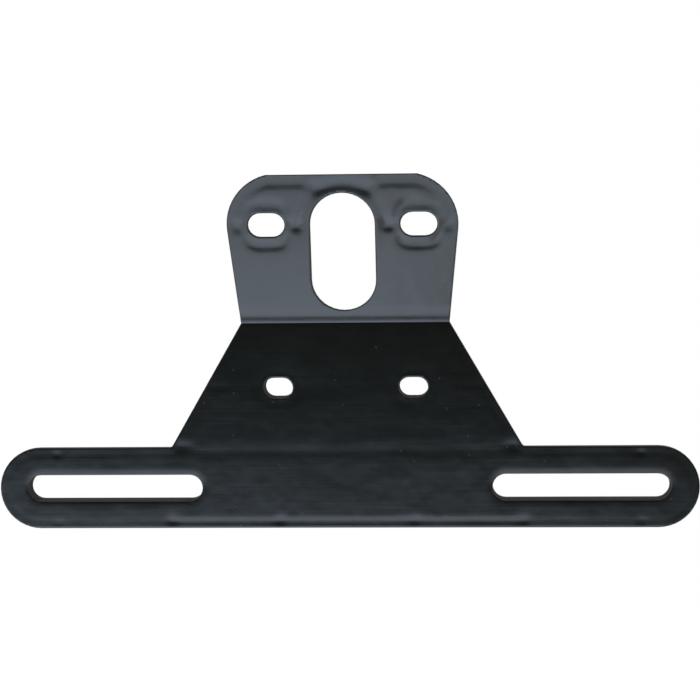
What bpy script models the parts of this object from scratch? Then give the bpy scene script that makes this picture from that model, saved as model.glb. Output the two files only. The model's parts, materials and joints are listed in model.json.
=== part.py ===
"""Licence plate bracket for a motorbike, moulded in one piece of black plastic.

A long bar carries the number plate. A neck rises from it to a fold, above which
a flange leans forward to meet the tail of the bike. Walls, collars and ribs on
the back stiffen the thin face. The bracket is first made flat, as one straight
draw of the mould along Y, and the part above the fold is leaned afterwards, so
every wall and hole still runs along Y.

Metres. X runs to the right seen from the front, Y to the back, Z up. The
origin is the middle of the bar, on its front face.
"""

import math

import bmesh
import bpy
from mathutils import Vector

# Outline of the face
BAR_LENGTH = 0.230
BAR_HEIGHT = 0.0268
NECK_FOOT_WIDTH = 0.1155
NECK_HEAD_WIDTH = 0.0682
NECK_FOOT_FILLET = 0.0012
FOLD_HEIGHT = 0.05425
FLANGE_HEIGHT = 0.0501
FLANGE_WIDTH = 0.0747
FLANGE_CORNER_RADIUS = 0.0172
FLANGE_CORNER_BREAK = math.radians(14.0)

# Fold between neck and flange
LEAN = math.radians(15.0)
FOLD_STEP = 0.00035
FOLD_STEP_RUN = 0.0006
FOLD_WALL_RISE = 0.0014

# Thickness of the face, depths of the walls from the face, and widths at their roots
SKIN = 0.0025
WALL_DEPTH = 0.0080
RIB_DEPTH = 0.0062
RIM_WIDTH = 0.0020
COLLAR_WIDTH = 0.0028
RING_WIDTH = 0.0016
RIB_WIDTH = 0.0018
DRAFT = math.radians(1.0)

# How far the rim stands in from the edge of the face, and rings from the flange's holes
RIM_INSET = 0.0007
SLOT_RING_INSET = 0.0018
WINDOW_RING_INSET = 0.0011

# Rounds on the front edges, fillets where walls and ribs spring from the skin, the
# fillet behind the overhang of the face, and rounds on the rear edges
EDGE_ROUND = 0.0003
LIP_ROUND = 0.0004
ROOT_FILLET = 0.0006
OVERHANG_FILLET = 0.0004
REAR_ROUND = 0.0003

# Slots for the plate's bolts, one in each arm of the bar
PLATE_SLOT_LENGTH = 0.0580
PLATE_SLOT_HEIGHT = 0.0086
PLATE_SLOT_END_MARGIN = 0.0093
ARM_RIB_END_MARGIN = 0.0190

# Small bolt slots in the neck
NECK_SLOT_LENGTH = 0.0095
NECK_SLOT_HEIGHT = 0.0066
NECK_SLOT_SPACING = 0.0443
NECK_SLOT_RISE = 0.03295

# Bolt slots in the flange, measured up the flange from the fold
FLANGE_SLOT_LENGTH = 0.0119
FLANGE_SLOT_HEIGHT = 0.0079
FLANGE_SLOT_SPACING = 0.0492
FLANGE_SLOT_RISE = 0.0334

# Tall window in the middle of the flange
WINDOW_WIDTH = 0.0209
WINDOW_HEIGHT = 0.0396
WINDOW_SILL = 0.0043
WINDOW_HEAD_BLOCK_WIDTH = 0.0200

# Facets
BAR_END_STEPS = 22
CORNER_STEPS = 12
FILLET_STEPS = 3
PLATE_SLOT_STEPS = 12
BOLT_SLOT_STEPS = 10
WINDOW_STEPS = 18
ROUND_STEPS = 3

# How far a cutter runs past the face that it opens
OVERSHOOT = 0.0010

# Colour and finish of the plastic
PLASTIC_COLOUR = (0.012, 0.0125, 0.0135, 1.0)
PLASTIC_ROUGHNESS = 0.42

SMOOTH_ANGLE = math.radians(35.0)
MERGE_DISTANCE = 1e-6


def arc(centre, radius, start, end, steps):
    """Points on an arc between two angles, both ends included."""
    turn = (end - start) / steps
    angles = [start + turn * i for i in range(steps + 1)]
    return [centre + Vector((math.cos(a), math.sin(a))) * radius for a in angles]


def fillet(before, corner, after, radius, steps):
    """The round that replaces a corner, from its near side to its far side."""
    to_before = (before - corner).normalized()
    to_after = (after - corner).normalized()
    half = to_before.angle(to_after) / 2
    centre = corner + (to_before + to_after).normalized() * (radius / math.sin(half))
    start = corner + to_before * (radius / math.tan(half)) - centre
    start_angle = math.atan2(start.y, start.x)
    turns_left = to_after.cross(to_before) > 0
    swing = (math.pi - 2 * half) * (1 if turns_left else -1)
    return arc(centre, radius, start_angle, start_angle + swing, steps)


def offset(loop, distance):
    """An anticlockwise loop moved outwards, or inwards by a negative distance."""
    moved = []
    for i, point in enumerate(loop):
        back = (point - loop[i - 1]).normalized()
        ahead = (loop[(i + 1) % len(loop)] - point).normalized()
        out_back = Vector((back.y, -back.x))
        out_ahead = Vector((ahead.y, -ahead.x))
        mitre = (out_back + out_ahead) / (1 + out_back.dot(out_ahead))
        moved.append(point + mitre * distance)
    return moved


def clipped(loop, height, side):
    """The part of a loop above a height, for a side of 1, or below it, for -1."""
    kept = []
    for i, point in enumerate(loop):
        before = loop[i - 1]
        inside = (point.y - height) * side > 0
        was_inside = (before.y - height) * side > 0
        if inside != was_inside:
            kept.append(before.lerp(point, (height - before.y) / (point.y - before.y)))
        if inside:
            kept.append(point)
    return kept


def round_ended(centre, length, height, steps):
    """A slot lying along X, with half-round ends."""
    radius = height / 2
    reach = Vector((length / 2 - radius, 0))
    quarter = math.pi / 2
    right = arc(centre + reach, radius, -quarter, quarter, steps)
    left = arc(centre - reach, radius, quarter, 3 * quarter, steps)
    return right + left


def upright(loop, centre):
    """A loop turned a quarter about a point."""
    return [centre + Vector((centre.y - p.y, p.x - centre.x)) for p in loop]


def strip(start, end, width):
    """A straight band between two points."""
    along = (end - start).normalized()
    side = Vector((-along.y, along.x)) * (width / 2)
    return [start - side, end - side, end + side, start + side]


def face_outline():
    """The edge of the whole face, laid flat, anticlockwise seen from the front."""
    end_radius = BAR_HEIGHT / 2
    end_centre = Vector((BAR_LENGTH / 2 - end_radius, 0))
    foot = Vector((NECK_FOOT_WIDTH / 2, end_radius))
    head = Vector((NECK_HEAD_WIDTH / 2, FOLD_HEIGHT))
    right = arc(end_centre, end_radius, -math.pi / 2, math.pi / 2, BAR_END_STEPS)
    right += fillet(right[-1], foot, head, NECK_FOOT_FILLET, FILLET_STEPS)
    right.append(head)

    drop = FLANGE_CORNER_RADIUS * math.cos(FLANGE_CORNER_BREAK)
    corner = Vector((FLANGE_WIDTH / 2 - FLANGE_CORNER_RADIUS, FOLD_HEIGHT + FLANGE_HEIGHT - drop))
    to_head = head - corner
    tangent = math.atan2(to_head.y, to_head.x) + math.acos(FLANGE_CORNER_RADIUS / to_head.length)
    top = math.pi / 2 - FLANGE_CORNER_BREAK
    right += arc(corner, FLANGE_CORNER_RADIUS, tangent, top, CORNER_STEPS)
    left = [Vector((-p.x, p.y)) for p in reversed(right)]
    return right + left


def hole_loops():
    """The slots and the window, laid flat, as name, loop and how far their walls stand back."""
    plate_x = BAR_LENGTH / 2 - PLATE_SLOT_END_MARGIN - PLATE_SLOT_LENGTH / 2
    neck_x = NECK_SLOT_SPACING / 2
    flange_x = FLANGE_SLOT_SPACING / 2
    flange_z = FOLD_HEIGHT + FLANGE_SLOT_RISE
    plate = (PLATE_SLOT_LENGTH, PLATE_SLOT_HEIGHT, PLATE_SLOT_STEPS)
    neck = (NECK_SLOT_LENGTH, NECK_SLOT_HEIGHT, BOLT_SLOT_STEPS)
    flange = (FLANGE_SLOT_LENGTH, FLANGE_SLOT_HEIGHT, BOLT_SLOT_STEPS)
    slots = [
        ("plate_slot", plate_x, 0, plate, 0),
        ("neck_slot", neck_x, NECK_SLOT_RISE, neck, 0),
        ("flange_slot", flange_x, flange_z, flange, SLOT_RING_INSET),
    ]
    loops = []
    for side, sign in (("left", -1), ("right", 1)):
        for name, x, z, form, inset in slots:
            loop = round_ended(Vector((sign * x, z)), *form)
            loops.append((f"{side}_{name}", loop, inset))
    centre = Vector((0, FOLD_HEIGHT + WINDOW_SILL + WINDOW_HEIGHT / 2))
    lying = round_ended(centre, WINDOW_HEIGHT, WINDOW_WIDTH, WINDOW_STEPS)
    return loops + [("window", upright(lying, centre), WINDOW_RING_INSET)]


def rib_loops():
    """The ribs, laid flat, as name and loop. Each runs from wall to wall."""
    bar_reach = BAR_HEIGHT / 2 - RIM_INSET - RIM_WIDTH / 2
    neck_reach = NECK_FOOT_WIDTH / 2
    flange_reach = FLANGE_WIDTH / 2
    flange_slot_z = FOLD_HEIGHT + FLANGE_SLOT_RISE
    ends = [
        ("neck_cross_rib", (-neck_reach, NECK_SLOT_RISE), (neck_reach, NECK_SLOT_RISE)),
        ("flange_cross_rib", (-flange_reach, flange_slot_z), (flange_reach, flange_slot_z)),
    ]
    for side, sign in (("left", -1), ("right", 1)):
        inner = sign * NECK_FOOT_WIDTH / 2
        outer = sign * (BAR_LENGTH / 2 - ARM_RIB_END_MARGIN)
        riser = sign * NECK_SLOT_SPACING / 2
        ends += [
            (f"{side}_inner_arm_rib", (inner, -bar_reach), (inner, bar_reach)),
            (f"{side}_outer_arm_rib", (outer, -bar_reach), (outer, bar_reach)),
            (f"{side}_neck_riser", (riser, -bar_reach), (riser, NECK_SLOT_RISE)),
        ]
    return [(name, strip(Vector(low), Vector(high), RIB_WIDTH)) for name, low, high in ends]


def cell_loops(outline):
    """The hollows of the back between the rim and the cross walls, laid flat."""
    inside = offset(outline, -RIM_INSET - RIM_WIDTH)
    fold_wall = FOLD_HEIGHT + FOLD_WALL_RISE
    bar = round_ended(Vector((0, 0)), BAR_LENGTH, BAR_HEIGHT, BAR_END_STEPS)
    bar_cell = offset(bar, -RIM_INSET - RIM_WIDTH)
    neck = clipped(clipped(inside, BAR_HEIGHT / 2 - RIM_INSET, 1), fold_wall, -1)
    flange = clipped(inside, fold_wall + RIM_WIDTH, 1)
    return [("bar_cell", bar_cell), ("neck_cell", neck), ("flange_cell", flange)]


def rounded(loop, radius, face, into, side):
    """Sections of a quarter round between a face and a wall, in order of depth.

    The wall runs back from the face where into is 1, and forward from it where it is -1.
    Towards the face the loop grows for a side of 1, and shrinks for -1.
    """
    sections = []
    for i in range(ROUND_STEPS + 1):
        angle = math.pi / 2 * i / ROUND_STEPS
        reach = radius * (1 - math.sin(angle)) * side
        sections.append((offset(loop, reach), face + into * radius * (1 - math.cos(angle))))
    return sections[::into]


def drafted(loop, near, far, side):
    """A loop as the draft leaves it at the far depth, wider for a side of 1."""
    return offset(loop, (far - near) * math.tan(DRAFT) * side)


def wall_sections(loop, tip, side):
    """A hollow that widens away from the skin for a side of 1, or a rib that narrows for -1."""
    root = rounded(loop, ROOT_FILLET, SKIN, 1, -side)
    return root + rounded(drafted(loop, SKIN, tip, side), REAR_ROUND, tip, -1, side)


def blank_sections(outline):
    """The whole block, whose rim stands in a little behind the edge of the face."""
    rim = offset(outline, -RIM_INSET)
    front = rounded(outline, EDGE_ROUND, 0, 1, -1)
    overhang = [(drafted(outline, 0, SKIN, -1), SKIN)]
    root = rounded(rim, OVERHANG_FILLET, SKIN, 1, 1)
    rear = rounded(drafted(rim, SKIN, WALL_DEPTH, -1), REAR_ROUND, WALL_DEPTH, -1, -1)
    return front + overhang + root + rear


def hole_sections(loop, inset):
    """A hole with soft edges, and with a wider pocket behind the skin where its wall stands back."""
    front = rounded(loop, LIP_ROUND, 0, 1, 1)
    if inset:
        return front + [(loop, SKIN)] + wall_sections(offset(loop, inset), WALL_DEPTH, 1)
    return front + rounded(loop, REAR_ROUND, WALL_DEPTH, -1, 1)


def lengthened(sections, near, far):
    """The same sections run on straight to a nearer and a further depth."""
    return [(sections[0][0], near)] + sections + [(sections[-1][0], far)]


def lofted(name, sections):
    """A solid through loops at their distances behind the face."""
    bm = bmesh.new()
    rings = [[bm.verts.new((p.x, depth, p.y)) for p in loop] for loop, depth in sections]
    bm.faces.new(rings[0])
    bm.faces.new(rings[-1])
    for near, far in zip(rings, rings[1:]):
        for i in range(len(near)):
            bm.faces.new((near[i - 1], near[i], far[i], far[i - 1]))
    bmesh.ops.recalc_face_normals(bm, faces=bm.faces)
    mesh = bpy.data.meshes.new(name)
    bm.to_mesh(mesh)
    bm.free()
    return bpy.data.objects.new(name, mesh)


def gathered(name, objects):
    """A collection of cutters, which don't render."""
    group = bpy.data.collections.new(name)
    bpy.context.scene.collection.children.link(group)
    for obj in objects:
        obj.hide_render = True
        obj.display_type = "WIRE"
        group.objects.link(obj)
    return group


def cut(obj, group):
    """Takes every object of a collection away from this one."""
    modifier = obj.modifiers.new(group.name, "BOOLEAN")
    modifier.operation = "DIFFERENCE"
    modifier.operand_type = "COLLECTION"
    modifier.collection = group
    modifier.solver = "EXACT"


def stiffeners(holes):
    """Collars and rings round the holes, the block over the window, and the ribs."""
    buried = SKIN - OVERSHOOT
    through = WALL_DEPTH + 2 * OVERSHOOT
    head = FOLD_HEIGHT + WINDOW_SILL + WINDOW_HEIGHT
    block = strip(Vector((0, head)), Vector((0, FOLD_HEIGHT + FLANGE_HEIGHT)), WINDOW_HEAD_BLOCK_WIDTH)
    full_height = [("window_head_block", block)]
    for name, loop, inset in holes:
        width = RING_WIDTH if inset else COLLAR_WIDTH
        full_height.append((f"{name}_collar", offset(loop, inset + width)))
    made = []
    for name, loop in full_height:
        sections = wall_sections(loop, WALL_DEPTH, -1)
        made.append(lofted(name, lengthened(sections, buried, through)))
    for name, loop in rib_loops():
        sections = wall_sections(loop, RIB_DEPTH, -1)
        made.append(lofted(name, [(sections[0][0], buried)] + sections))
    return gathered("stiffeners", made)


def flat_bracket():
    """The bracket before its flange is leaned."""
    outline = face_outline()
    holes = hole_loops()
    blank = lofted("blank", blank_sections(outline))
    bpy.context.scene.collection.objects.link(blank)

    walls = stiffeners(holes)
    cells = []
    for name, loop in cell_loops(outline):
        sections = wall_sections(loop, WALL_DEPTH, 1)
        cell = lofted(name, sections + [(sections[-1][0], WALL_DEPTH + OVERSHOOT)])
        cut(cell, walls)
        cells.append(cell)
    cut(blank, gathered("cells", cells))

    cutters = []
    for name, loop, inset in holes:
        sections = hole_sections(loop, inset)
        cutters.append(lofted(name, lengthened(sections, -OVERSHOOT, WALL_DEPTH + OVERSHOOT)))
    cut(blank, gathered("holes", cutters))
    return blank


def lean_flange(bm):
    """Leans everything above the fold forward, past the small step at its foot."""
    up = Vector((0, 0, 1))
    for height in (FOLD_HEIGHT, FOLD_HEIGHT + FOLD_STEP_RUN):
        geometry = bm.verts[:] + bm.edges[:] + bm.faces[:]
        bmesh.ops.bisect_plane(bm, geom=geometry, dist=MERGE_DISTANCE, plane_co=up * height, plane_no=up)
    for vert in bm.verts:
        rise = vert.co.z - FOLD_HEIGHT
        if rise > 0:
            step = FOLD_STEP * min(rise / FOLD_STEP_RUN, 1)
            vert.co.y -= rise * math.sin(LEAN) + step
            vert.co.z = FOLD_HEIGHT + rise * math.cos(LEAN)


def remove_flaps(bm):
    """Takes away faces with an open edge, which a cut can leave where two walls nearly meet."""
    flaps = [face for face in bm.faces if any(edge.is_boundary for edge in face.edges)]
    bmesh.ops.delete(bm, geom=flaps, context="FACES")


def plastic():
    """Satin black plastic."""
    material = bpy.data.materials.new("satin_black_plastic")
    material.use_nodes = True
    shader = material.node_tree.nodes["Principled BSDF"]
    shader.inputs["Base Color"].default_value = PLASTIC_COLOUR
    shader.inputs["Roughness"].default_value = PLASTIC_ROUGHNESS
    shader.inputs["Metallic"].default_value = 0.0
    return material


def finished(flat):
    """The bracket itself, from its flat form."""
    bpy.context.view_layer.update()
    graph = bpy.context.evaluated_depsgraph_get()
    mesh = bpy.data.meshes.new_from_object(flat.evaluated_get(graph))
    mesh.name = "plate_bracket"
    bm = bmesh.new()
    bm.from_mesh(mesh)
    bmesh.ops.triangulate(bm, faces=bm.faces)
    lean_flange(bm)
    bmesh.ops.dissolve_degenerate(bm, dist=MERGE_DISTANCE, edges=bm.edges)
    bmesh.ops.triangulate(bm, faces=bm.faces)
    remove_flaps(bm)
    bmesh.ops.recalc_face_normals(bm, faces=bm.faces)
    bm.to_mesh(mesh)
    bm.free()
    mesh.materials.append(plastic())
    mesh.shade_smooth()
    mesh.set_sharp_from_angle(angle=SMOOTH_ANGLE)
    return bpy.data.objects.new("plate_bracket", mesh)


def main():
    for obj in list(bpy.data.objects):
        bpy.data.objects.remove(obj, do_unlink=True)
    bracket = finished(flat_bracket())
    for obj in list(bpy.data.objects):
        if obj is not bracket:
            bpy.data.objects.remove(obj, do_unlink=True)
    for group in list(bpy.data.collections):
        bpy.data.collections.remove(group)
    bpy.context.scene.collection.objects.link(bracket)


main()
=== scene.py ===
"""Looks of a licence plate bracket, moulded in one piece of black plastic, in a plain studio.

The bracket's face is cut into a fine net, and the shallow sink marks that rims, collars and
ribs leave in the face of such a moulding are pressed into it. Lengths are in metres, and the
frame is the solid's own: X along the bar, Y to the back, Z up the neck. A height "laid flat"
is measured along the face, as if the flange didn't lean.
"""

import json
import math

import bmesh
import bpy
import numpy as np
from bpy.props import FloatProperty, FloatVectorProperty, PointerProperty
from bpy.types import Operator, Panel, PropertyGroup
from mathutils import Matrix, Vector


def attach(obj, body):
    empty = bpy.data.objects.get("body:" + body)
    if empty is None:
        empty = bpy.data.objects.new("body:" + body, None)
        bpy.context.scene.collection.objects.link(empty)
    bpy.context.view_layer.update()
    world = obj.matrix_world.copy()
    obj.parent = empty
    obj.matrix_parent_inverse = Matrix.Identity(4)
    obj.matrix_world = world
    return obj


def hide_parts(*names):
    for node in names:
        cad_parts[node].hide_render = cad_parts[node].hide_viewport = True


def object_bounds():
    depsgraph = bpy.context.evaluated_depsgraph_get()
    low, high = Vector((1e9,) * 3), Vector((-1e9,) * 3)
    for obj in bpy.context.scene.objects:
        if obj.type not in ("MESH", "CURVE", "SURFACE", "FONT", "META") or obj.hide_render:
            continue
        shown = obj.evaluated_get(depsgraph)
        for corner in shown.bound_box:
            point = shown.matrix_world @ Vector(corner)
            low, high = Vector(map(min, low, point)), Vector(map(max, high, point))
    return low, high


bl_info = {
    "name": "Licence Plate Bracket",
    "version": (1, 0, 0),
    "blender": (4, 5, 0),
    "location": "3D View > Sidebar > Plate Bracket",
    "description": "Finishes a moulded licence plate bracket and sets up its studio",
    "category": "Object",
}

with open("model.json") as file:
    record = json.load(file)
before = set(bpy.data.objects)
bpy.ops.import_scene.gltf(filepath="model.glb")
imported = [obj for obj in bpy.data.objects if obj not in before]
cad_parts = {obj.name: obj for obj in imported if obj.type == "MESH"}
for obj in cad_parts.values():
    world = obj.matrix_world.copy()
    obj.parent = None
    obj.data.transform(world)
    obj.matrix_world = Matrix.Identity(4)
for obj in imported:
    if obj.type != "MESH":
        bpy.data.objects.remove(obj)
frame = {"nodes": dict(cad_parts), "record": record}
CAD_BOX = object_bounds()

MERGE_DISTANCE = 1e-6

# Faces that meet at a smaller angle than the first become one, and edges where they meet at more
# than the second stay sharp.
FLAT_ANGLE = math.radians(0.3)
SMOOTH_ANGLE = math.radians(35.0)

# Numbers of a Mix node's sockets for colours.
MIX_FIRST = 6
MIX_SECOND = 7
MIX_RESULT = 2

# The part of a surface's normal along Y up to which it is finished as a wall, and from which it
# is finished as a face.
WALL_FACING = 0.20
FACE_FACING = 0.35

# Where walls and ribs stand behind the face. X is measured from the middle to both sides, a
# height from the middle of the bar, and a rise from the fold.
NECK_FOOT_X = 0.05775
RISER_X = 0.02215
FLANGE_SLOT_X = 0.0246
ARM_TIP_X = 0.0960
BAR_TOP = 0.0134
BAR_WALL_HEIGHT = 0.0120
NECK_RIB_HEIGHT = 0.0332
FOLD_WALL_RISE = 0.0028
FLANGE_RIB_RISE = 0.0335
FLANGE_TOP_RISE = 0.0501

# The mark over the window is an arch: the rise of its crown, and how strongly it curves down.
HEAD_RISE = 0.0472
HEAD_CURVE = 14.0

# Where marks come in or fade out, each from a first place to a second. RING_END_X is measured
# from the middle of a flange slot.
SOFT_END = 0.004
SLOT_MIDDLE = (-0.002, 0.002)
RISER_TOP_HEIGHT = (0.025, 0.030)
SHOULDER_RISE = (0.025, 0.045)
BESIDE_HEAD_X = (0.008, 0.013)
HEAD_END_X = (0.0085, 0.0125)
WINDOW_RING_RISE = (0.020, 0.035)
RING_TOP_RISE = (0.030, 0.038)
RING_END_X = (0.0050, 0.0095)

# Dimples, where ribs meet each other or a rim: X, height or rise, and how many times as wide, as
# tall and as deep as its settings say. The first are in the bar and neck, the next beside the
# arch over the window, and the last beside the flange slots.
LOW_DIMPLES = (
    (RISER_X, -0.0110, 1.2, 1.0, 2.2),
    (NECK_FOOT_X, -0.0110, 1.2, 1.0, 2.2),
    (ARM_TIP_X, -0.0115, 1.0, 0.8, 1.0),
    (ARM_TIP_X, 0.0111, 0.8, 0.6, 1.6),
    (0.0540, 0.0137, 1.6, 0.9, 2.0),
    (0.0415, 0.0334, 2.2, 0.7, 0.5),
)
HEAD_DIMPLES = ((0.0090, 0.0458, 1.6, 1.2, 3.0),)
RIB_DIMPLES = ((0.0150, 0.0330, 1.7, 1.3, 1.0), (0.0338, 0.0328, 1.4, 1.4, 0.75))

# Heights over the fold of extra cuts, which let the mark of its wall come out smooth.
FOLD_CUTS = [step * 0.0003 for step in range(3, 13)]


class MouldingSettings(PropertyGroup):
    """Where the fold is, and how finely the face is cut."""

    lean: FloatProperty(
        name="Lean", description="How far the flange leans forward",
        default=math.radians(15), subtype="ANGLE",
    )
    fold_height: FloatProperty(
        name="Fold Height", description="Height of the fold over the middle of the bar",
        default=0.05425, unit="LENGTH",
    )
    fold_step: FloatProperty(
        name="Fold Step", description="How far the flange stands proud at the fold",
        default=0.00035, unit="LENGTH",
    )
    fold_step_run: FloatProperty(
        name="Fold Step Run", description="Height in which the step at the fold is made",
        default=0.0006, unit="LENGTH",
    )
    net_pitch: FloatProperty(
        name="Net Pitch", description="Distance between the cuts across the face",
        default=0.0006, unit="LENGTH",
    )
    net_depth: FloatProperty(
        name="Net Depth", description="How deep behind the face the net reaches at its edges",
        default=0.0006, unit="LENGTH",
    )


class SinkSettings(PropertyGroup):
    """Depths and widths of the sink marks in the face, and how far it bows."""

    rim_inset: FloatProperty(
        name="Rim Inset", description="From the bar's edge to the mark of its rim",
        default=0.0019, unit="LENGTH",
    )
    rim_return: FloatProperty(
        name="Rim Return", description="Half width of a rim's mark towards the edge",
        default=0.0035, unit="LENGTH",
    )
    bar_rim_depth: FloatProperty(
        name="Bar Rim Depth", description="Mark of the rim under the neck",
        default=0.00013, unit="LENGTH",
    )
    arm_rim_depth: FloatProperty(
        name="Arm Rim Depth", description="Mark of the rim round the arms",
        default=0.00003, unit="LENGTH",
    )
    neck_rim_depth: FloatProperty(
        name="Neck Rim Depth", description="Mark of the rim beside the neck",
        default=0.00002, unit="LENGTH",
    )
    flange_rim_inset: FloatProperty(
        name="Flange Rim Inset", description="From the flange's edge to the mark of its rim",
        default=0.0023, unit="LENGTH",
    )
    flange_rim_depth: FloatProperty(
        name="Flange Rim Depth", description="Mark of the rim round the flange",
        default=0.00024, unit="LENGTH",
    )
    flange_rim_width: FloatProperty(
        name="Flange Rim Width", description="Half width of the mark of the flange's rim",
        default=0.0020, unit="LENGTH",
    )
    rib_width: FloatProperty(
        name="Rib Width", description="Half width of the mark of a rib or rim",
        default=0.0010, unit="LENGTH",
    )
    bar_wall_depth: FloatProperty(
        name="Bar Wall Depth", description="Mark of the wall along the top of the bar",
        default=0.00005, unit="LENGTH",
    )
    bar_wall_width: FloatProperty(
        name="Bar Wall Width", description="Half width of the bar wall's mark above its middle",
        default=0.0026, unit="LENGTH",
    )
    bar_wall_return: FloatProperty(
        name="Bar Wall Return", description="Half width of the bar wall's mark below its middle",
        default=0.0018, unit="LENGTH",
    )
    neck_rib_depth: FloatProperty(
        name="Neck Rib Depth", description="Mark of the rib across the neck",
        default=0.00001, unit="LENGTH",
    )
    riser_depth: FloatProperty(
        name="Riser Depth", description="Mark of the upright ribs",
        default=0.00001, unit="LENGTH",
    )
    riser_width: FloatProperty(
        name="Riser Width", description="Half width of the marks of the upright ribs",
        default=0.0020, unit="LENGTH",
    )
    flange_rib_depth: FloatProperty(
        name="Flange Rib Depth", description="Mark of the rib across the flange",
        default=0.00002, unit="LENGTH",
    )
    fold_wall_depth: FloatProperty(
        name="Fold Wall Depth", description="Mark of the wall at the fold",
        default=0.00036, unit="LENGTH",
    )
    fold_wall_width: FloatProperty(
        name="Fold Wall Width", description="Half width of the mark of the wall at the fold",
        default=0.0018, unit="LENGTH",
    )
    neck_ring_reach: FloatProperty(
        name="Neck Ring Reach", description="From a neck slot's lip to the mark of its collar",
        default=0.0010, unit="LENGTH",
    )
    neck_ring_depth: FloatProperty(
        name="Neck Ring Depth", description="Mark of the collars in the neck",
        default=0.00005, unit="LENGTH",
    )
    flange_ring_reach: FloatProperty(
        name="Flange Ring Reach", description="From a flange slot's lip to the mark of its ring",
        default=0.0025, unit="LENGTH",
    )
    flange_ring_depth: FloatProperty(
        name="Flange Ring Depth", description="Mark of the rings in the flange",
        default=0.00040, unit="LENGTH",
    )
    flange_ring_top_depth: FloatProperty(
        name="Flange Ring Top Depth", description="Mark of the flange's rings above their slots",
        default=0.00030, unit="LENGTH",
    )
    window_ring_reach: FloatProperty(
        name="Window Ring Reach", description="From the window's lip to the mark of its ring",
        default=0.0027, unit="LENGTH",
    )
    window_ring_depth: FloatProperty(
        name="Window Ring Depth", description="Mark of the ring round the window",
        default=0.00017, unit="LENGTH",
    )
    ring_width: FloatProperty(
        name="Ring Width", description="Half width of the mark of a ring",
        default=0.0020, unit="LENGTH",
    )
    ring_return: FloatProperty(
        name="Ring Return", description="Half width of the mark of a flange ring towards its slot",
        default=0.0024, unit="LENGTH",
    )
    window_head_depth: FloatProperty(
        name="Window Head Depth", description="Mark of the block over the window",
        default=0.00020, unit="LENGTH",
    )
    window_head_width: FloatProperty(
        name="Window Head Width", description="Half width of the block's mark above its middle",
        default=0.00217, unit="LENGTH",
    )
    window_head_return: FloatProperty(
        name="Window Head Return", description="Half width of the block's mark below its middle",
        default=0.0031, unit="LENGTH",
    )
    slot_lip_reach: FloatProperty(
        name="Slot Lip Reach", description="Width of the soft edge of the long slots",
        default=0.0023, unit="LENGTH",
    )
    slot_lip_depth: FloatProperty(
        name="Slot Lip Depth", description="Depth of the soft edge below a long slot",
        default=0.00005, unit="LENGTH",
    )
    slot_top_depth: FloatProperty(
        name="Slot Top Depth", description="Depth of the soft edge above a long slot",
        default=0.00011, unit="LENGTH",
    )
    dimple_width: FloatProperty(
        name="Dimple Width", description="Half width of the dimple where a rib meets a rim",
        default=0.0017, unit="LENGTH",
    )
    dimple_depth: FloatProperty(
        name="Dimple Depth", description="Depth of a shallow dimple",
        default=0.00005, unit="LENGTH",
    )
    rib_dimple_depth: FloatProperty(
        name="Rib Dimple Depth", description="Depth of the dimples beside the flange slots",
        default=0.00042, unit="LENGTH",
    )
    flange_bow: FloatProperty(
        name="Flange Bow", description="How far the flange bows back at its top",
        default=0.0006, unit="LENGTH",
    )
    bar_bow: FloatProperty(
        name="Bar Bow", description="How far the face of the bar bows back towards its bottom edge",
        default=0.00015, unit="LENGTH",
    )
    bar_bow_height: FloatProperty(
        name="Bar Bow Height", description="Height in which most of the bar's bow is made",
        default=0.015, unit="LENGTH",
    )


class PlasticSettings(PropertyGroup):
    """Colour and finish of the plastic."""

    colour: FloatVectorProperty(
        name="Colour", description="Colour of the plastic",
        default=(0.0066, 0.0073, 0.0044), subtype="COLOR",
    )
    paleness: FloatProperty(
        name="Paleness", description="How many times paler the palest flow lines and clouds are",
        default=1.25,
    )
    roughness: FloatProperty(
        name="Roughness", description="Satin finish of the face",
        default=0.22, min=0.0, max=1.0, subtype="FACTOR",
    )
    wall_roughness: FloatProperty(
        name="Wall Roughness", description="Matt finish of walls that run with the mould's draw",
        default=0.95, min=0.0, max=1.0, subtype="FACTOR",
    )
    flow_lines: FloatProperty(
        name="Flow Lines", description="How much the flow lines change the finish",
        default=0.05,
    )
    flow_length: FloatProperty(
        name="Flow Length", description="Length of a flow line",
        default=0.030, unit="LENGTH",
    )
    flow_spacing: FloatProperty(
        name="Flow Spacing", description="Distance between flow lines",
        default=0.0009, unit="LENGTH",
    )
    cloud_size: FloatProperty(
        name="Cloud Size", description="Size of the faint clouds in the finish",
        default=0.012, unit="LENGTH",
    )
    grain_size: FloatProperty(
        name="Grain Size", description="Size of the mould's fine grain",
        default=0.0005, unit="LENGTH",
    )
    grain_height: FloatProperty(
        name="Grain Height", description="Height of the mould's fine grain",
        default=0.000004, unit="LENGTH",
    )
    flow_height: FloatProperty(
        name="Flow Height", description="Height of the flow lines",
        default=0.000010, unit="LENGTH",
    )
    cloud_height: FloatProperty(
        name="Cloud Height", description="Height of the faint waves in the face",
        default=0.00015, unit="LENGTH",
    )
    dust_spacing: FloatProperty(
        name="Dust Spacing", description="Distance between the places where dust may lie",
        default=0.011, unit="LENGTH",
    )
    dust_share: FloatProperty(
        name="Dust Share", description="Share of the places for dust that hold a speck",
        default=0.4, min=0.0, max=1.0, subtype="FACTOR",
    )
    dust_size: FloatProperty(
        name="Dust Size", description="Half width of a speck",
        default=0.00016, unit="LENGTH",
    )
    dust_colour: FloatVectorProperty(
        name="Dust Colour", description="Colour of the specks",
        default=(0.06, 0.065, 0.065), subtype="COLOR",
    )


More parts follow.
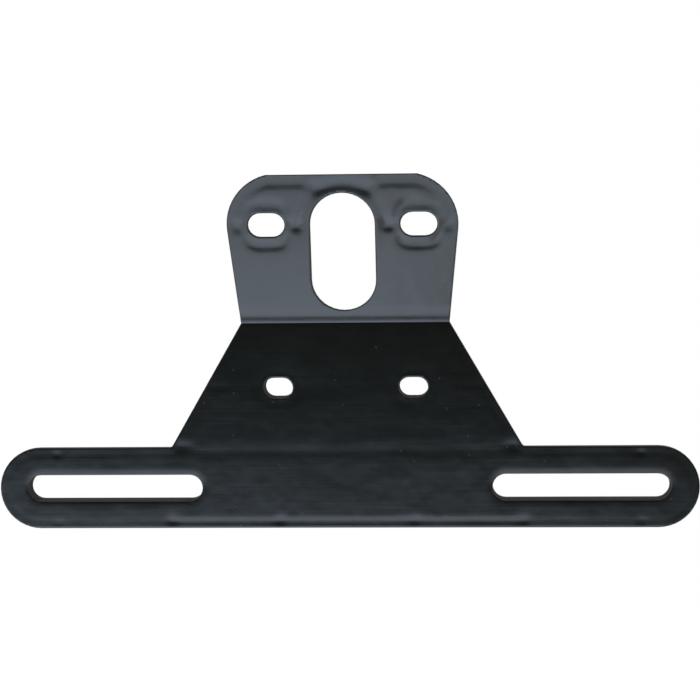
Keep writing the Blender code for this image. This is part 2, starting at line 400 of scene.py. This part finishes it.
class StudioSettings(PropertyGroup):
    """Camera, lamps, floor and dark card."""

    aim: FloatVectorProperty(
        name="Aim", description="Point that the camera looks at",
        default=(0.00152, 0.0, 0.04528), subtype="TRANSLATION",
    )
    distance: FloatProperty(
        name="Distance", description="From the camera to its aim",
        default=0.738, unit="LENGTH",
    )
    yaw: FloatProperty(
        name="Yaw", description="Angle by which the camera stands to the right",
        default=math.radians(3.54), subtype="ANGLE",
    )
    pitch: FloatProperty(
        name="Pitch", description="Angle by which the camera stands above its aim",
        default=math.radians(4.78), subtype="ANGLE",
    )
    roll: FloatProperty(
        name="Roll", description="Turn of the camera about its view",
        default=math.radians(0.67), subtype="ANGLE",
    )
    lens: FloatProperty(
        name="Lens", description="Focal length",
        default=116.26, unit="CAMERA",
    )
    low_distance: FloatProperty(
        name="Low Distance", description="From the bracket to the low softbox",
        default=0.65, unit="LENGTH",
    )
    low_elevation: FloatProperty(
        name="Low Elevation", description="Angle of the low softbox above the bracket",
        default=math.radians(-46.6), subtype="ANGLE",
    )
    low_azimuth: FloatProperty(
        name="Low Azimuth", description="Angle of the low softbox to the right",
        default=math.radians(-32.0), subtype="ANGLE",
    )
    low_width: FloatProperty(
        name="Low Width", description="Width of the low softbox",
        default=0.69, unit="LENGTH",
    )
    low_height: FloatProperty(
        name="Low Height", description="Height of the low softbox",
        default=0.35, unit="LENGTH",
    )
    low_roll: FloatProperty(
        name="Low Roll", description="Turn of the low softbox in its own plane",
        default=0.0, subtype="ANGLE",
    )
    low_power: FloatProperty(
        name="Low Power", description="Power of the low softbox",
        default=1.72, unit="POWER",
    )
    side_distance: FloatProperty(
        name="Side Distance", description="From the bracket to the side softbox",
        default=0.95, unit="LENGTH",
    )
    side_elevation: FloatProperty(
        name="Side Elevation", description="Angle of the side softbox above the bracket",
        default=math.radians(-21.0), subtype="ANGLE",
    )
    side_azimuth: FloatProperty(
        name="Side Azimuth", description="Angle of the side softbox to the right",
        default=math.radians(-14.0), subtype="ANGLE",
    )
    side_width: FloatProperty(
        name="Side Width", description="Width of the side softbox",
        default=0.90, unit="LENGTH",
    )
    side_height: FloatProperty(
        name="Side Height", description="Height of the side softbox",
        default=0.30, unit="LENGTH",
    )
    side_roll: FloatProperty(
        name="Side Roll", description="Turn of the side softbox in its own plane",
        default=math.radians(-8.0), subtype="ANGLE",
    )
    side_power: FloatProperty(
        name="Side Power", description="Power of the side softbox",
        default=1.24, unit="POWER",
    )
    lamp_colour: FloatVectorProperty(
        name="Lamp Colour", description="Colour of both softboxes' light",
        default=(0.705, 0.885, 1.15), subtype="COLOR",
    )
    fill: FloatProperty(
        name="Fill", description="Level of the soft light from all round",
        default=0.45,
    )
    floor_drop: FloatProperty(
        name="Floor Drop", description="From the middle of the bar down to the floor",
        default=0.90, unit="LENGTH",
    )
    floor_size: FloatProperty(
        name="Floor Size", description="Width of the floor",
        default=8.0, unit="LENGTH",
    )
    floor_colour: FloatVectorProperty(
        name="Floor Colour", description="Colour of the floor",
        default=(0.82, 0.82, 0.82), subtype="COLOR",
    )
    floor_roughness: FloatProperty(
        name="Floor Roughness", description="How matt the floor is",
        default=0.9, min=0.0, max=1.0, subtype="FACTOR",
    )
    floor_glow: FloatProperty(
        name="Floor Glow", description="White that the camera sees on top of the floor's own light",
        default=0.75,
    )
    card_distance: FloatProperty(
        name="Card Distance", description="From the bracket to the dark card behind the camera",
        default=1.0, unit="LENGTH",
    )
    card_width: FloatProperty(
        name="Card Width", description="Width of the dark card",
        default=1.5, unit="LENGTH",
    )
    card_bottom: FloatProperty(
        name="Card Bottom", description="Height of the dark card's lower edge",
        default=-0.26, unit="LENGTH",
    )
    card_top: FloatProperty(
        name="Card Top", description="Height of the dark card's upper edge",
        default=0.62, unit="LENGTH",
    )
    card_colour: FloatVectorProperty(
        name="Card Colour", description="Colour of the dark card",
        default=(0.02, 0.02, 0.02), subtype="COLOR",
    )


class Term:
    """A shader socket on which Python's arithmetic adds Math nodes."""

    def __init__(self, shader, socket):
        self.shader = shader
        self.socket = socket

    def math(self, operation, *inputs):
        """A Math node's result from this socket and others, or numbers."""
        settings = {"operation": operation}
        return self.shader.add("ShaderNodeMath", settings, dict(enumerate(inputs)))

    def __add__(self, other):
        return self.math("ADD", self, other)

    def __sub__(self, other):
        return self.math("SUBTRACT", self, other)

    def __rsub__(self, other):
        return self.math("SUBTRACT", other, self)

    def __mul__(self, other):
        return self.math("MULTIPLY", self, other)

    def __truediv__(self, other):
        return self.math("DIVIDE", self, other)

    def __gt__(self, other):
        return self.math("GREATER_THAN", self, other)

    def __abs__(self):
        return self.math("ABSOLUTE", self)

    def clamped(self):
        return self.math("MINIMUM", self.math("MAXIMUM", self, 0.0), 1.0)

    def either(self, other):
        return self.math("MAXIMUM", self, other)

    __radd__ = __add__
    __rmul__ = __mul__


class Shader:
    """The nodes of a material or world."""

    def __init__(self, owner):
        owner.use_nodes = True
        self.tree = owner.node_tree
        self.tree.nodes.clear()

    def add(self, kind, settings=None, inputs=None, output=0):
        """Adds a node and returns one of its outputs."""
        node = self.tree.nodes.new(kind)
        for name, value in (settings or {}).items():
            setattr(node, name, value)
        for name, value in (inputs or {}).items():
            if isinstance(value, Term):
                self.tree.links.new(value.socket, node.inputs[name])
            else:
                node.inputs[name].default_value = value
        return Term(self, node.outputs[output]) if node.outputs else None

    def noise(self, position, size, detail=2.0):
        """Noise whose features are about as large as the given size along each axis."""
        scale = [1 / length for length in size]
        mapped = {"Vector": position, "Scale": scale}
        at = self.add("ShaderNodeMapping", {"vector_type": "POINT"}, mapped)
        inputs = {"Vector": at, "Scale": 1.0, "Detail": detail}
        return self.add("ShaderNodeTexNoise", {}, inputs, "Fac")

    def mixed(self, share, first, second):
        """One colour turned into another by a share."""
        colours = {"Factor": share, MIX_FIRST: first, MIX_SECOND: second}
        return self.add("ShaderNodeMix", {"data_type": "RGBA"}, colours, MIX_RESULT)


def with_alpha(colour):
    return (*colour, 1.0)


def satin_plastic(settings):
    """Black plastic with flow lines along the bar, faint clouds, a fine grain and some dust."""
    material = bpy.data.materials.new("satin_black_plastic")
    shader = Shader(material)
    place = shader.add("ShaderNodeTexCoord", output="Object")
    flow_size = (settings.flow_length, settings.flow_length, settings.flow_spacing)
    flow = shader.noise(place, flow_size) - 0.5
    cloud = shader.noise(place, [settings.cloud_size] * 3) - 0.5
    grain = shader.noise(place, [settings.grain_size] * 3)

    # The walls run along Y with the mould's draw, so they are where the normal has little Y.
    facing = shader.add("ShaderNodeTexCoord", output="Normal")
    along_draw = shader.add("ShaderNodeSeparateXYZ", {}, {"Vector": facing}, "Y")
    wall = ((FACE_FACING - abs(along_draw)) / (FACE_FACING - WALL_FACING)).clamped()

    # A speck lies in some of the cells of a pattern seen from the front. It is whole within its
    # half width, and gone at twice that.
    turn = {"Vector": place, "Angle": -math.pi / 2}
    from_front = shader.add("ShaderNodeVectorRotate", {"rotation_type": "X_AXIS"}, turn)
    cells = {"Vector": from_front, "Scale": 1 / settings.dust_spacing}
    flat = {"feature": "F1", "voronoi_dimensions": "2D"}
    near = shader.add("ShaderNodeTexVoronoi", flat, cells, "Distance")
    tint = shader.add("ShaderNodeTexVoronoi", flat, cells, "Color")
    chance = shader.add("ShaderNodeSeparateColor", {}, {"Color": tint})
    reach = settings.dust_size / settings.dust_spacing
    dusty = chance > 1 - settings.dust_share
    speck = (2.0 - near / reach).clamped() * dusty * (1.0 - wall)

    plain = with_alpha(settings.colour)
    paler = with_alpha([part * settings.paleness for part in settings.colour])
    base = shader.mixed((0.5 + flow + cloud).clamped(), plain, paler)
    colour = shader.mixed(speck, base, with_alpha(settings.dust_colour))
    face = settings.roughness + flow * settings.flow_lines + cloud * settings.flow_lines
    roughness = face + wall * (settings.wall_roughness - face)
    height = (
        grain * settings.grain_height
        + flow * settings.flow_height
        + cloud * settings.cloud_height
    )
    bump = {"Height": height, "Distance": 1.0, "Strength": 1.0}
    normal = shader.add("ShaderNodeBump", {}, bump)
    inputs = {"Base Color": colour, "Roughness": roughness, "Normal": normal}
    surface = shader.add("ShaderNodeBsdfPrincipled", {}, inputs)
    shader.add("ShaderNodeOutputMaterial", {}, {"Surface": surface})
    return material


class LaidFlat:
    """Points of the bracket as they were before its flange was leaned."""

    def __init__(self, points, moulding):
        up_flange = np.maximum(points[:, 2] - moulding.fold_height, 0) / math.cos(moulding.lean)
        step = moulding.fold_step * np.minimum(up_flange / moulding.fold_step_run, 1)
        self.x = points[:, 0]
        self.across = np.abs(self.x)
        self.height = np.minimum(points[:, 2], moulding.fold_height) + up_flange
        self.rise = self.height - moulding.fold_height
        self.depth = points[:, 1] + up_flange * math.sin(moulding.lean) + step

    def on_face(self):
        """The points as pairs of X and height."""
        return np.column_stack([self.x, self.height])


def vert_array(verts):
    """The places of these verts, one in each row."""
    return np.array([vert.co for vert in verts])


def net_places(low, high, pitch):
    """Where the cuts between two ends lie, none of them on an end."""
    count = int((high - low) / pitch)
    return [low + (high - low) * (i + 0.5) / count for i in range(count)]


def cut_across(bm, faces, direction, places):
    """Cuts faces across a direction, the middle place first, so that each cut meets few faces."""
    if not faces or not places:
        return
    middle = len(places) // 2
    geometry = set(faces)
    for face in faces:
        geometry.update(face.edges)
        geometry.update(face.verts)
    plane = {"plane_co": direction * places[middle], "plane_no": direction}
    made = bmesh.ops.bisect_plane(bm, geom=list(geometry), dist=MERGE_DISTANCE, **plane)
    near, far = [], []
    for item in made["geom"]:
        if isinstance(item, bmesh.types.BMFace):
            beyond = item.calc_center_median().dot(direction) > places[middle]
            (far if beyond else near).append(item)
    cut_across(bm, near, direction, places[:middle])
    cut_across(bm, far, direction, places[middle + 1:])


def front_faces(bm, moulding, deepest):
    """The faces that lie no deeper behind the bracket's front than this."""
    bm.verts.index_update()
    depth = LaidFlat(vert_array(bm.verts), moulding).depth
    return [face for face in bm.faces if all(depth[vert.index] < deepest for vert in face.verts)]


def face_edges(bm, moulding):
    """The loops of edges round the flat of the face, laid flat, each as an array of segments."""
    flat = set(front_faces(bm, moulding, MERGE_DISTANCE * 10))
    left = {edge for edge in bm.edges if sum(face in flat for face in edge.link_faces) == 1}
    loops = []
    while left:
        found, waiting = [], [left.pop()]
        while waiting:
            edge = waiting.pop()
            found.append(edge)
            beside = {near for vert in edge.verts for near in vert.link_edges} & left
            left -= beside
            waiting.extend(beside)
        ends = vert_array([vert for edge in found for vert in edge.verts])
        loops.append(LaidFlat(ends, moulding).on_face().reshape(-1, 2, 2))
    return loops


def named_loops(bm, moulding):
    """The outline, as the longest loop, and the loop round each opening."""
    loops = face_edges(bm, moulding)
    loops.sort(key=lambda segments: -np.ptp(segments[:, :, 0]))
    named = {"outline": loops.pop(0)}
    middles = [(segments.min((0, 1)) + segments.max((0, 1))) / 2 for segments in loops]
    for opening in frame["record"]["physics"]["openings"]:
        low, high = (np.array(corner) for corner in opening["box_m"])
        centre = LaidFlat(((low + high) / 2)[None], moulding).on_face()[0]
        away = [np.linalg.norm(middle - centre) for middle in middles]
        named[opening["name"]] = loops[int(np.argmin(away))]
    return named


def distance_to(segments, points):
    """How far each point lies from the nearest segment."""
    nearest = np.full(len(points), np.inf)
    for start, end in segments:
        along = end - start
        share = np.clip((points - start) @ along / max(along @ along, MERGE_DISTANCE**2), 0, 1)
        away = points - start - share[:, None] * along
        nearest = np.minimum(nearest, np.hypot(away[:, 0], away[:, 1]))
    return nearest


def groove(distance, depth, width, near_width=None):
    """A soft groove, deepest where the distance is nought.

    Where the distance is negative, the groove may have a width of its own.
    """
    widths = np.where(distance < 0, near_width or width, width)
    return depth * np.exp(-((distance / widths) ** 2))


def fade_in(value, start, end):
    """Goes smoothly from nought at the start to one at the end."""
    share = np.clip((value - start) / (end - start), 0, 1)
    return share * share * (3 - 2 * share)


def fade_out(value, start, end):
    """Goes smoothly from one at the start to nought at the end."""
    return 1 - fade_in(value, start, end)


def blend(first, second, share):
    """The first value where the share is nought, and the second where it is one."""
    return first + (second - first) * share


def rim_marks(laid, outline, sink):
    """Marks of the rim that runs round the whole outline.

    They are wide towards the edge, where they fall away too gently to show.
    """
    edge = distance_to(outline, laid.on_face())
    on_flange = fade_in(laid.rise, 0, SOFT_END)
    near_foot = fade_out(laid.across, NECK_FOOT_X - SOFT_END, NECK_FOOT_X + SOFT_END)
    under_neck = near_foot * fade_out(laid.height, -SOFT_END, 0)
    beside_neck = fade_in(laid.height, BAR_TOP, BAR_TOP + SOFT_END) * (1 - on_flange)
    low_depth = blend(sink.arm_rim_depth, sink.bar_rim_depth, under_neck)
    low_depth = blend(low_depth, sink.neck_rim_depth, beside_neck) * (1 - on_flange)
    low = groove(edge - sink.rim_inset, low_depth, sink.rib_width, sink.rim_return)

    high_depth = sink.flange_rim_depth * fade_in(laid.rise, *SHOULDER_RISE)
    high_depth = high_depth * fade_in(laid.across, *BESIDE_HEAD_X)
    inset = edge - sink.flange_rim_inset
    return low + groove(inset, high_depth, sink.flange_rim_width, sink.rim_return)


def wall_marks(laid, sink):
    """Marks of the straight walls and ribs."""
    above_wall = laid.height - BAR_WALL_HEIGHT
    wall_depth = sink.bar_wall_depth * fade_out(laid.across, NECK_FOOT_X - SOFT_END, NECK_FOOT_X)
    bar_wall = groove(above_wall, wall_depth, sink.bar_wall_width, sink.bar_wall_return)
    neck_rib = groove(laid.height - NECK_RIB_HEIGHT, sink.neck_rib_depth, sink.rib_width)
    flange_rib = groove(laid.rise - FLANGE_RIB_RISE, sink.flange_rib_depth, sink.rib_width)
    fold_wall = groove(laid.rise - FOLD_WALL_RISE, sink.fold_wall_depth, sink.fold_wall_width)
    riser_depth = sink.riser_depth * fade_out(laid.height, *RISER_TOP_HEIGHT)
    risers = groove(laid.across - RISER_X, riser_depth, sink.riser_width)
    return bar_wall + neck_rib + flange_rib + fold_wall + risers


def dimple_marks(across, level, dimples, depth, width):
    """Dimples of this depth and width, changed by each one's own numbers."""
    pressed = np.zeros(len(across))
    for middle, dimple_level, wide, tall, deep in dimples:
        away = np.hypot((across - middle) / wide, (level - dimple_level) / tall)
        pressed += groove(away, depth * deep, width)
    return pressed


def opening_marks(laid, loops, sink):
    """Soft lips of the long slots, and marks of the collars and rings round the other openings."""
    points = laid.on_face()
    lip_depth = blend(sink.slot_lip_depth, sink.slot_top_depth, fade_in(laid.height, *SLOT_MIDDLE))
    beside = fade_out(np.abs(laid.across - FLANGE_SLOT_X), *RING_END_X)
    ring_top = fade_in(laid.rise, *RING_TOP_RISE)
    ring_depth = blend(sink.flange_ring_depth, sink.flange_ring_top_depth, ring_top) * beside
    pressed = np.zeros(len(points))
    for side in ("left", "right"):
        lip = distance_to(loops[f"{side}_plate_slot"], points)
        pressed += lip_depth * np.clip(1 - lip / sink.slot_lip_reach, 0, 1) ** 2
        collar = distance_to(loops[f"{side}_neck_slot"], points) - sink.neck_ring_reach
        pressed += groove(collar, sink.neck_ring_depth, sink.ring_width)
        ring = distance_to(loops[f"{side}_flange_slot"], points) - sink.flange_ring_reach
        pressed += groove(ring, ring_depth, sink.ring_width, sink.ring_return)

    ring = distance_to(loops["window"], points) - sink.window_ring_reach
    window_depth = sink.window_ring_depth * fade_in(laid.rise, *WINDOW_RING_RISE)
    pressed += groove(ring, window_depth, sink.ring_width)
    arch = laid.rise - HEAD_RISE + HEAD_CURVE * laid.x**2
    head_depth = sink.window_head_depth * fade_out(laid.across, *HEAD_END_X)
    return pressed + groove(arch, head_depth, sink.window_head_width, sink.window_head_return)


def bows(laid, sink):
    """How far the flange bows back towards its top, and the bar towards its bottom edge."""
    flange = sink.flange_bow * (np.maximum(laid.rise, 0) / FLANGE_TOP_RISE) ** 3
    below = np.maximum(BAR_TOP - laid.height, 0) / sink.bar_bow_height
    return flange + sink.bar_bow * (1 - np.exp(-below))


def sink_depths(laid, loops, sink):
    """How far each point of the face is pressed in."""
    pressed = rim_marks(laid, loops["outline"], sink) + wall_marks(laid, sink)
    for level, dimples, depth in (
        (laid.height, LOW_DIMPLES, sink.dimple_depth),
        (laid.rise, HEAD_DIMPLES, sink.dimple_depth),
        (laid.rise, RIB_DIMPLES, sink.rib_dimple_depth),
    ):
        pressed += dimple_marks(laid.across, level, dimples, depth, sink.dimple_width)
    return pressed + opening_marks(laid, loops, sink) + bows(laid, sink)


def bracket_mesh(moulding, sink):
    """The moulding with its face cut into a net and its sink marks pressed in."""
    bm = bmesh.new()
    bm.from_mesh(frame["nodes"]["plate_bracket"].data)

    # The solid's loose triangles become whole faces, which the net cuts cleanly.
    bmesh.ops.remove_doubles(bm, verts=bm.verts, dist=MERGE_DISTANCE)
    bmesh.ops.dissolve_limit(bm, angle_limit=FLAT_ANGLE, verts=bm.verts, edges=bm.edges)

    loops = named_loops(bm, moulding)
    low, high = CAD_BOX
    for direction in (Vector((0, 0, 1)), Vector((1, 0, 0))):
        places = net_places(low.dot(direction), high.dot(direction), moulding.net_pitch)
        if direction.z:
            places = sorted(places + [moulding.fold_height + cut for cut in FOLD_CUTS])
        cut_across(bm, front_faces(bm, moulding, moulding.net_depth), direction, places)

    # A cut close to an old corner leaves an edge of no length.
    bmesh.ops.dissolve_degenerate(bm, dist=MERGE_DISTANCE, edges=bm.edges)

    laid = LaidFlat(vert_array(bm.verts), moulding)
    pressed = sink_depths(laid, loops, sink)
    for vert, depth, amount in zip(bm.verts, laid.depth, pressed):
        if depth < moulding.net_depth:
            vert.co.y += amount
    mesh = bpy.data.meshes.new("plate_bracket_moulding")
    bm.to_mesh(mesh)
    bm.free()
    return mesh


class PLATE_BRACKET_OT_add_moulding(Operator):
    """Add the bracket in satin black plastic"""

    bl_idname = "plate_bracket.add_moulding"
    bl_label = "Add Moulding"

    def execute(self, context):
        scene = context.scene
        mesh = bracket_mesh(scene.bracket_moulding, scene.bracket_sinks)
        mesh.materials.append(satin_plastic(scene.bracket_plastic))
        mesh.shade_smooth()
        mesh.set_sharp_from_angle(angle=SMOOTH_ANGLE)
        moulding = bpy.data.objects.new("moulding", mesh)
        scene.collection.objects.link(moulding)
        weighted = moulding.modifiers.new("flat_faces", "WEIGHTED_NORMAL")
        weighted.keep_sharp = True
        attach(moulding, "root")
        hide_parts("plate_bracket")
        return {"FINISHED"}


def seen_directly(shader):
    """One for what the camera sees, also in gloss and through glass."""
    camera, gloss, through = (
        shader.add("ShaderNodeLightPath", output=f"Is {kind} Ray")
        for kind in ("Camera", "Glossy", "Transmission")
    )
    return camera.either(gloss).either(through)


def add_world(scene, studio):
    """Soft light from all round, on a white ground."""
    scene.world = bpy.data.worlds.new("studio")
    shader = Shader(scene.world)
    fill = shader.add("ShaderNodeBackground", {}, {"Color": (1, 1, 1, 1), "Strength": studio.fill})
    white = shader.add("ShaderNodeBackground", {}, {"Color": (1, 1, 1, 1), "Strength": 1.0})
    both = shader.add("ShaderNodeMixShader", {}, {0: seen_directly(shader), 1: fill, 2: white})
    shader.add("ShaderNodeOutputWorld", {}, {"Surface": both})


def add_sheet(scene, name, width, height, matrix, material):
    """A flat sheet of the stage, facing along its own Z."""
    bm = bmesh.new()
    bmesh.ops.create_grid(bm, x_segments=1, y_segments=1, size=0.5)
    bmesh.ops.scale(bm, vec=(width, height, 1), verts=bm.verts)
    bmesh.ops.transform(bm, matrix=matrix, verts=bm.verts)
    mesh = bpy.data.meshes.new(name)
    bm.to_mesh(mesh)
    bm.free()
    mesh.materials.append(material)
    sheet = bpy.data.objects.new(name, mesh)
    scene.collection.objects.link(sheet)
    return sheet


def pale_floor(studio):
    """A pale floor that the camera sees nearly white, and that still takes shadows."""
    material = bpy.data.materials.new("pale_floor")
    shader = Shader(material)
    colour = with_alpha(studio.floor_colour)
    inputs = {"Base Color": colour, "Roughness": studio.floor_roughness}
    paint = shader.add("ShaderNodeBsdfPrincipled", {}, inputs)
    strength = seen_directly(shader) * studio.floor_glow
    glow = shader.add("ShaderNodeEmission", {}, {"Color": (1, 1, 1, 1), "Strength": strength})
    both = shader.add("ShaderNodeAddShader", {}, {0: paint, 1: glow})
    shader.add("ShaderNodeOutputMaterial", {}, {"Surface": both})
    return material


def dark_card(studio):
    """A matt dark card."""
    material = bpy.data.materials.new("dark_card")
    shader = Shader(material)
    paint = shader.add("ShaderNodeBsdfDiffuse", {}, {"Color": with_alpha(studio.card_colour)})
    shader.add("ShaderNodeOutputMaterial", {}, {"Surface": paint})
    return material


def add_softbox(scene, studio, name):
    """A softbox that faces the bracket, placed by the settings of that name."""
    data = bpy.data.lights.new(f"{name}_softbox", "AREA")
    data.shape = "RECTANGLE"
    data.size = getattr(studio, f"{name}_width")
    data.size_y = getattr(studio, f"{name}_height")
    data.energy = getattr(studio, f"{name}_power")
    data.color = studio.lamp_colour
    softbox = bpy.data.objects.new(data.name, data)
    scene.collection.objects.link(softbox)
    turn = Matrix.Rotation(getattr(studio, f"{name}_azimuth"), 4, "Z")
    tilt = Matrix.Rotation(math.pi / 2 - getattr(studio, f"{name}_elevation"), 4, "X")
    back = Matrix.Translation((0, 0, getattr(studio, f"{name}_distance")))
    roll = Matrix.Rotation(getattr(studio, f"{name}_roll"), 4, "Z")
    softbox.matrix_world = Matrix.Translation(studio.aim) @ turn @ tilt @ back @ roll
    softbox.visible_camera = False


def add_camera(scene, studio):
    """The camera that sees the bracket as it was photographed."""
    data = bpy.data.cameras.new("camera")
    data.lens = studio.lens
    camera = bpy.data.objects.new("camera", data)
    scene.collection.objects.link(camera)
    turn = Matrix.Rotation(studio.yaw, 4, "Z")
    tilt = Matrix.Rotation(math.pi / 2 - studio.pitch, 4, "X")
    roll = Matrix.Rotation(-studio.roll, 4, "Z")
    back = Matrix.Translation((0, 0, studio.distance))
    camera.matrix_world = Matrix.Translation(studio.aim) @ turn @ tilt @ roll @ back
    scene.camera = camera


class PLATE_BRACKET_OT_add_studio(Operator):
    """Add the floor, the dark card, the lamps and the camera"""

    bl_idname = "plate_bracket.add_studio"
    bl_label = "Add Studio"

    def execute(self, context):
        scene = context.scene
        studio = scene.bracket_studio
        add_world(scene, studio)
        down = Matrix.Translation((0, 0, -studio.floor_drop))
        width = studio.floor_size
        add_sheet(scene, "floor", width, width, down, pale_floor(studio))
        middle = (studio.card_bottom + studio.card_top) / 2
        upright = Matrix.Translation((0, -studio.card_distance, middle))
        upright = upright @ Matrix.Rotation(-math.pi / 2, 4, "X")
        height = studio.card_top - studio.card_bottom
        material = dark_card(studio)
        card = add_sheet(scene, "card", studio.card_width, height, upright, material)
        card.visible_camera = False
        add_softbox(scene, studio, "low")
        add_softbox(scene, studio, "side")
        add_camera(scene, studio)
        scene.view_settings.view_transform = "Standard"
        return {"FINISHED"}


class PLATE_BRACKET_PT_sidebar(Panel):
    """Steps that build the bracket and its studio"""

    bl_label = "Plate Bracket"
    bl_idname = "PLATE_BRACKET_PT_sidebar"
    bl_space_type = "VIEW_3D"
    bl_region_type = "UI"
    bl_category = "Plate Bracket"

    def draw(self, context):
        for step in STEPS:
            self.layout.operator(step.bl_idname)
        for name, group in SETTINGS.items():
            box = self.layout.box()
            for prop in group.__annotations__:
                box.prop(getattr(context.scene, name), prop)


SETTINGS = {
    "bracket_moulding": MouldingSettings,
    "bracket_sinks": SinkSettings,
    "bracket_plastic": PlasticSettings,
    "bracket_studio": StudioSettings,
}
STEPS = (PLATE_BRACKET_OT_add_moulding, PLATE_BRACKET_OT_add_studio)


def register():
    for group in (*SETTINGS.values(), *STEPS, PLATE_BRACKET_PT_sidebar):
        bpy.utils.register_class(group)
    for name, group in SETTINGS.items():
        setattr(bpy.types.Scene, name, PointerProperty(type=group))


def unregister():
    for name in SETTINGS:
        delattr(bpy.types.Scene, name)
    for group in reversed((*SETTINGS.values(), *STEPS, PLATE_BRACKET_PT_sidebar)):
        bpy.utils.unregister_class(group)


def main():
    register()
    bpy.ops.plate_bracket.add_moulding()
    bpy.ops.plate_bracket.add_studio()


if __name__ == "__main__":
    main()
